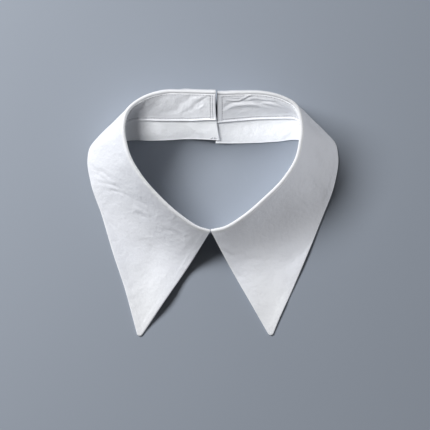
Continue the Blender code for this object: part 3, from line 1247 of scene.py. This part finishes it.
@dataclass
class Leaf:
    """The pointed, turned-down leaf of one half."""

    half: str
    lines: Lines
    creases: Sequence[Crease]
    allowance_height: float
    curl: float
    thickness: float = LEAF_THICKNESS
    roll_steps: int = 13
    fall_steps: int = 84
    tip_radius: float = 2.3

    # The seam allowance that shows through along the edges, in places fainter
    allowance_range: Range = (4.3, 6.5)
    allowance_along: Wave = Wave(0.35, 1 / 9)
    allowance_down: Wave = Wave(0.25, 1 / 5)
    allowance_top: Range = (LIP_LENGTH, LIP_LENGTH + 4.0)
    faint_along: Wave = Wave(0.4, 1 / 13, 0.6)
    faint_down: Wave = Wave(1.0, 1 / 17, 2.1)

    # The line pressed beside the roll
    roll_line: float = 4.9
    roll_line_width: float = 0.5
    roll_line_depth: float = 0.11
    roll_line_ends: Range = (0.8, 2.0)

    # Painted highlights: the cloth is painted paler along its edges, towards its point and over its roll
    edge_highlight: float = 0.7
    edge_range: Range = (0.4, 1.8)
    point_highlight: float = 0.8
    point_range: Range = (12.0, 62.0)
    roll_range: Range = (3.4, 5.4)

    # The curl of the front edge and the ripple of the outer one
    curl_from: float = 0.30
    curl_span: float = 0.66
    curl_range: Range = (0.0, 36.0)
    ripple: float = 0.9
    ripple_wave: Wave = Wave(0.5, 1 / 14)
    ripple_beat: Wave = Wave(1.0, 1 / 31, 0.7)
    ripple_front: Range = (4.0, 30.0)
    ripple_range: Range = (0.0, 14.0)

    def grid(self) -> np.ndarray:
        """Work out the cloth's points, close together over the roll and near the borders.

        Returns:
            The points.
        """
        dense = self.lines.leaf_profile()
        lengths = distances(dense, 1)
        roll = (LIP_LENGTH + lengths[:, LIP_STEPS + ROLL_STEPS] - lengths[:, LIP_STEPS])[:, None]
        whole = lengths[:, -1:]
        near = np.array(BORDER_ROWS)
        first = np.repeat(np.array(LIP_ROWS)[None, :], len(roll), axis=0)
        over = LIP_LENGTH + (roll - LIP_LENGTH) * np.linspace(0, 1, self.roll_steps + 1)[None, 1:]
        share = np.linspace(0, 1, self.fall_steps + 1)[None, 1:]
        fall = roll + (whole - near[-1] - roll) * share
        last = whole - near[None, :-1][:, ::-1]
        return sample(dense, np.concatenate([first, over, fall, last], axis=1))

    def sheet(self) -> Sheet:
        """Shape the leaf's cloth.

        Returns:
            The cloth.
        """
        cloth = Sheet(
            f"leaf_{self.half}_cloth", self.grid(), self.lines.side, self.thickness,
            reference=LIP_LENGTH + ROLL_RADIUS * math.pi / 2,
        )
        cloth.round_corner(self.tip_radius)
        cloth.crumple(self.creases, self.lines.places)
        self.curl_edges(cloth)
        edge = np.minimum.reduce([cloth.along, cloth.from_end, cloth.from_foot])
        wobble = self.allowance_along.at(cloth.along) + self.allowance_down.at(cloth.down)
        faint = self.faint_along.at(cloth.along) * self.faint_down.at(cloth.down)
        pressed = fade(edge + wobble, self.allowance_range) * ease(cloth.down, self.allowance_top)
        line = ridge(cloth.down - self.roll_line, self.roll_line_width)
        cloth.swell = self.allowance_height * pressed * (1.0 - self.faint_along.height + faint)
        cloth.swell -= self.roll_line_depth * line * ease(cloth.border, self.roll_line_ends)
        # Painted highlights along the edges, towards the point and over the roll
        cloth.painted_highlight = np.maximum.reduce([
            self.edge_highlight * fade(edge, self.edge_range),
            self.point_highlight * fade(np.hypot(cloth.from_end, cloth.from_foot), self.point_range),
            fade(cloth.down, self.roll_range),
        ])
        return cloth

    def curl_edges(self, cloth: Sheet) -> None:
        """Let the front edge and the outer edge rise a little off the table.

        Args:
            cloth: The leaf's cloth.
        """
        share = (cloth.down / cloth.down[:, -1:] - self.curl_from) / self.curl_span
        middle = np.sin(math.pi * np.clip(share, 0.0, 1.0)) ** 2
        front = self.curl * fade(cloth.from_end, self.curl_range) * middle
        wave = self.ripple_wave.at(cloth.along) * self.ripple_beat.at(cloth.along)
        outer = ease(cloth.from_end, self.ripple_front) * fade(cloth.from_foot, self.ripple_range)
        cloth.points[:, :, 2] += front + self.ripple * (self.ripple_wave.height + wave) * outer

    def build(self, finishes: Finishes) -> list[bpy.types.Object]:
        """Build the leaf and tell the frame about it.

        Args:
            finishes: The materials.

        Returns:
            Its pieces.
        """
        cloth = self.sheet()
        piece = cloth.build(finishes.leaf)
        declare(
            piece, f"leaf_{self.half}",
        )
        return [piece]


@dataclass
class Stand:
    """The stand inside the fold of one half, with its rows of stitching."""

    half: str
    lines: Lines
    creases: Sequence[Crease]
    end_rows: tuple[float, ...]
    sag: float
    thickness: float = 1.2
    middle_steps: int = 30

    # Where the foot sags, and how far it stands off the band
    sag_start: Range = (3.0, 22.0)
    sag_end: Range = (105.0, 160.0)
    flare: float = 0.35
    flare_range: Range = (0.0, 6.0)
    flare_end: Range = (120.0, 165.0)

    # The hem along the foot, and the painted highlights along it and along the turned edge at the top
    hem_height: float = 0.5
    hem_range: Range = (1.1, 2.0)
    top_range: Range = (0.9, 1.9)

    # The stitched rows, their grooves with painted shade in them, and the puckers beside them
    top_row: float = 1.5
    foot_row: float = 3.0
    groove: float = 0.12
    groove_width: float = 0.5
    groove_range: Range = (0.9, 1.5)
    pucker: float = 0.10
    pucker_width: float = 2.2
    pucker_along: tuple[Wave, Wave] = (Wave(1.0, 1.31), Wave(1.0, 0.47, 1.0))
    pucker_down: tuple[Wave, Wave] = (Wave(0.7, 1.2), Wave(1.0, 0.5, 0.4))
    front_lines: int = 6
    thread_sunk: float = 0.02

    def sheet(self) -> Sheet:
        """Shape the stand's cloth.

        Returns:
            The cloth.
        """
        top = LIP_LENGTH - SEAM_LAP
        places = self.lines.places
        sagged = self.sag * ease(places, self.sag_start) * fade(places, self.sag_end)
        length = self.lines.wall_length * (1.0 - BAND_SHARE) - top + sagged
        depth = rows_down(length, self.middle_steps) + top
        away = self.flare * fade((length + top)[:, None] - depth, self.flare_range)
        away = away * fade(places, self.flare_end)[:, None]
        points = self.lines.wall(depth) + self.lines.inwards[:, None, :] * away[:, :, None]
        cloth = Sheet(f"stand_{self.half}_cloth", points, -self.lines.side, self.thickness)
        cloth.crumple(self.creases, self.lines.places)
        rows = [cloth.down - self.top_row, cloth.from_foot - self.foot_row]
        rows += [cloth.along - row for row in self.end_rows]
        inside = ease(cloth.border, self.groove_range)
        shaded_groove, puckers = (
            np.max([ridge(gap, width) for gap in rows], axis=0) * inside
            for width in (self.groove_width, self.pucker_width)
        )
        wave = self.pucker_along[0].at(cloth.along) * self.pucker_along[1].at(cloth.along)
        wave = wave + self.pucker_down[0].at(cloth.down) * self.pucker_down[1].at(cloth.down)
        hem = fade(cloth.from_foot, self.hem_range)
        cloth.swell = self.hem_height * hem - self.groove * shaded_groove + self.pucker * puckers * wave
        # Painted shade along the stitch grooves, and painted highlights along the hem and the top edge
        cloth.shaded_groove = shaded_groove
        cloth.painted_highlight = np.maximum(hem, fade(cloth.down, self.top_range))
        return cloth

    def rows(self, cloth: Sheet) -> list[np.ndarray]:
        """Find the stitching's paths: along the top, along the foot and up the back end.

        Args:
            cloth: The stand's cloth.

        Returns:
            The paths.
        """
        top = nearest(cloth.down[0], self.top_row)
        foot = nearest(cloth.from_foot[0], self.foot_row)
        columns = [nearest(cloth.along[:, 0], row) for row in self.end_rows]
        lengthways = slice(columns[0], -self.front_lines)
        paths = [(lengthways, top), (lengthways, foot)]
        paths += [(column, slice(top, foot + 1)) for column in columns]
        return [cloth.surface_line(path, self.thread_sunk) for path in paths]

    def build(self, finishes: Finishes) -> list[bpy.types.Object]:
        """Build the stand and its stitching and tell the frame about them.

        Args:
            finishes: The materials.

        Returns:
            Its pieces.
        """
        cloth = self.sheet()
        piece = cloth.build(finishes.stand)
        paths = self.rows(cloth)
        stitches = STITCH.sew(f"stand_{self.half}_stitches", paths, finishes.thread)
        shade_dots = SHADE_DOTS.sew(f"stand_{self.half}_needle_holes", paths, finishes.needle_shade)
        declare(
            piece, f"stand_{self.half}",
            [stitches, shade_dots],
        )
        return [piece, stitches, shade_dots]


@dataclass
class Band:
    """The plain band under the stand of one half, its upper edge tucked behind the stand."""

    half: str
    lines: Lines
    creases: Sequence[Crease]
    tacked: bool
    thickness: float = 1.0
    middle_steps: int = 30

    # How far the upper edge goes behind the stand, and how the band comes forward from there
    tuck: float = 2.4
    set_back: float = 1.2
    set_back_range: Range = (2.4, 19.4)

    # The foot's narrow hem, painted paler as a highlight, and the line pressed above it, painted with shade
    hem: float = 1.5
    hem_height: float = 0.18
    hem_range: Range = (1.0, 1.5)
    hem_highlight: float = 0.5
    line_width: float = 0.4
    line_depth: float = 0.10
    line_shade: float = 0.6

    # The hand tack at the back end: its reach along the foot and its two rows above it
    tack_reach: Range = (2.6, 6.4)
    tack_rows: Range = (1.6, 2.6)
    tack_shorter: int = 2

    def sheet(self) -> Sheet:
        """Shape the band's cloth.

        Returns:
            The cloth.
        """
        top = self.lines.wall_length * (1.0 - BAND_SHARE) - self.tuck
        depth = rows_down(self.lines.wall_length - top, self.middle_steps) + top[:, None]
        behind = self.set_back * fade(depth - top[:, None], self.set_back_range)
        points = self.lines.wall(depth) - self.lines.inwards[:, None, :] * behind[:, :, None]
        cloth = Sheet(f"band_{self.half}_cloth", points, -self.lines.side, self.thickness, self.tuck)
        cloth.crumple(self.creases, self.lines.places)
        line = ridge(cloth.from_foot - self.hem, self.line_width)
        foot = fade(cloth.from_foot, self.hem_range)
        cloth.swell = self.hem_height * foot - self.line_depth * line
        # A painted highlight along the hem and painted shade in the pressed line above it
        cloth.painted_highlight = foot * self.hem_highlight
        cloth.shaded_groove = line * self.line_shade
        return cloth

    def tack(self, cloth: Sheet, finishes: Finishes) -> list[bpy.types.Object]:
        """Sew the small tack at the foot of the back end.

        Args:
            cloth: The band's cloth.
            finishes: The materials.

        Returns:
            The tack's stitches and its dots of painted shade.
        """
        first, last = (nearest(cloth.along[:, -1], reach) for reach in self.tack_reach)
        low, high = (nearest(cloth.from_foot[0], row) for row in self.tack_rows)
        paths = [
            cloth.surface_line((slice(first, last), low), 0.0),
            cloth.surface_line((slice(first, last - self.tack_shorter), high), 0.0),
        ]
        return [
            TACK.sew(f"band_{self.half}_tack", paths, finishes.thread),
            SHADE_DOTS.sew(f"band_{self.half}_tack_holes", paths, finishes.needle_shade),
        ]

    def build(self, finishes: Finishes) -> list[bpy.types.Object]:
        """Build the band and tell the frame about it.

        Args:
            finishes: The materials.

        Returns:
            Its pieces.
        """
        cloth = self.sheet()
        piece = cloth.build(finishes.band)
        extras = self.tack(cloth, finishes) if self.tacked else []
        declare(
            piece, f"band_{self.half}", extras
        )
        return [piece, *extras]


class Reach(Enum):
    """The pieces that a light is kept for."""

    EVERYTHING = "everything"
    LININGS = "linings"
    LEAVES = "leaves"


@dataclass
class Half:
    """The left or right half of the collar."""

    name: str
    side: int
    sections: Sequence[Section]
    leaf_creases: Sequence[Crease]
    stand_creases: Sequence[Crease]
    band_creases: Sequence[Crease]
    end_rows: tuple[float, ...]
    sag: float
    allowance_height: float
    curl: float
    tacked: bool
    leaf_step: float = 0.95
    wall_step: float = 0.75

    def lines(self, step: float) -> Lines:
        """The half's middle lines, at most so far apart."""
        length = fold_knots(self.sections)[-1]
        return Lines(self.sections, self.side, places_along(length, step))

    def build(self, finishes: Finishes) -> dict[Reach, list[bpy.types.Object]]:
        """Build the half's band, stand and leaf.

        Args:
            finishes: The materials.

        Returns:
            The pieces round the neck opening and the leaf's.
        """
        wall = self.lines(self.wall_step)
        band = Band(self.name, wall, self.band_creases, self.tacked).build(finishes)
        stand = Stand(self.name, wall, self.stand_creases, self.end_rows, self.sag).build(finishes)
        leaf = Leaf(
            self.name, self.lines(self.leaf_step), self.leaf_creases, self.allowance_height, self.curl
        ).build(finishes)
        return {Reach.LININGS: band + stand, Reach.LEAVES: leaf}


HALVES = (
    Half(
        "left", -1, LEFT_SECTIONS, LEFT_LEAF_CREASES, LEFT_STAND_CREASES, LEFT_BAND_CREASES,
        end_rows=(4.2, 2.3), sag=1.3, allowance_height=0.26, curl=4.0, tacked=True,
    ),
    Half(
        "right", 1, RIGHT_SECTIONS, RIGHT_LEAF_CREASES, RIGHT_STAND_CREASES, RIGHT_BAND_CREASES,
        end_rows=(3.9,), sag=0.0, allowance_height=0.14, curl=2.4, tacked=False,
    ),
)


@dataclass(frozen=True)
class Lamp:
    """One soft box, placed round the collar and turned towards its middle."""

    name: str
    power: float
    width: float
    height: float
    azimuth: float
    elevation: float
    distance: float
    colour: Colour
    reach: Reach = Reach.EVERYTHING

    def build(self, groups: dict[Reach, bpy.types.Collection]) -> None:
        """Build the light.

        Args:
            groups: The pieces that some lights are kept for.
        """
        data = bpy.data.lights.new(self.name, "AREA")
        data.shape = "RECTANGLE"
        data.size = self.width
        data.size_y = self.height
        data.energy = self.power
        data.color = self.colour
        light = bpy.data.objects.new(self.name, data)
        azimuth = math.radians(self.azimuth)
        elevation = math.radians(self.elevation)
        place = self.distance * Vector((
            math.cos(azimuth) * math.cos(elevation),
            math.sin(azimuth) * math.cos(elevation),
            math.sin(elevation),
        ))
        light.location = place
        light.rotation_euler = (-place).to_track_quat("-Z", "Y").to_euler()
        bpy.context.scene.collection.objects.link(light)
        if self.reach in groups:
            light.light_linking.receiver_collection = groups[self.reach]


LAMPS = (
    Lamp("key_light", 48.5, 1.4, 0.66, 147.0, 38.5, 2.0, (0.98, 0.99, 1.0)),
    Lamp("right_reflector", 6.0, 0.5, 0.5, -12.0, 16.0, 1.2, (0.97, 0.98, 1.0), Reach.LEAVES),
    Lamp("lining_light", 17.0, 0.3, 0.5, 173.0, 65.0, 1.25, (0.98, 0.99, 1.0), Reach.LININGS),
)


@dataclass
class Studio:
    """The table, the soft light and the camera at the photograph's angle, in metres and degrees."""

    elevation: float = 80.0
    distance: float = 0.8
    lens: float = 83.72
    sensor: float = 36.0
    table_size: float = 8.0
    fill: float = 0.07
    fill_colour: Colour = (1.0, 0.98, 0.95)

    def build(self, pieces: dict[Reach, list[bpy.types.Object]]) -> None:
        """Build the table, lights, world and camera.

        Args:
            pieces: The pieces that some lights are kept for.
        """
        self.build_table()
        groups = {}
        for reach, kept in pieces.items():
            groups[reach] = bpy.data.collections.new(reach.value)
            for piece in kept:
                groups[reach].objects.link(piece)
        for lamp in LAMPS:
            lamp.build(groups)
        self.build_world()
        self.build_camera()

    def build_table(self) -> None:
        """Build the table top, which isn't part of the collar."""
        half = self.table_size / 2
        mesh = bpy.data.meshes.new("table_top")
        corners = [(-half, -half, 0.0), (half, -half, 0.0), (half, half, 0.0), (-half, half, 0.0)]
        mesh.from_pydata(corners, [], [(0, 1, 2, 3)])
        mesh.materials.append(TABLE_PAINT.material())
        table = bpy.data.objects.new("table_top", mesh)
        bpy.context.scene.collection.objects.link(table)

    def build_world(self) -> None:
        """Give the room a soft, faint light from all round."""
        world = bpy.data.worlds.new("soft_room")
        world.use_nodes = True
        background = world.node_tree.nodes["Background"]
        background.inputs["Color"].default_value = (*self.fill_colour, 1.0)
        background.inputs["Strength"].default_value = self.fill
        bpy.context.scene.world = world

    def build_camera(self) -> None:
        """Build the camera that the picture is taken with."""
        data = bpy.data.cameras.new("camera")
        data.lens = self.lens
        data.sensor_width = self.sensor
        camera = bpy.data.objects.new("camera", data)
        tilt = math.radians(self.elevation)
        target = -TABLE_MIDDLE * MM
        camera.location = (
            target[0],
            target[1] - self.distance * math.cos(tilt),
            self.distance * math.sin(tilt),
        )
        camera.rotation_euler = (math.pi / 2 - tilt, 0.0, 0.0)
        bpy.context.scene.collection.objects.link(camera)
        bpy.context.scene.camera = camera
        bpy.context.scene.view_settings.view_transform = "Standard"


def main() -> None:
    """Build the collar and the studio round it."""
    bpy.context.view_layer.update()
    finishes = Finishes()
    pieces = {Reach.LININGS: [], Reach.LEAVES: []}
    for half in HALVES:
        for reach, made in half.build(finishes).items():
            pieces[reach] += made
        LOG.info("%s half built", half.name)
    Studio().build(pieces)


if __name__ == "__main__":
    main()
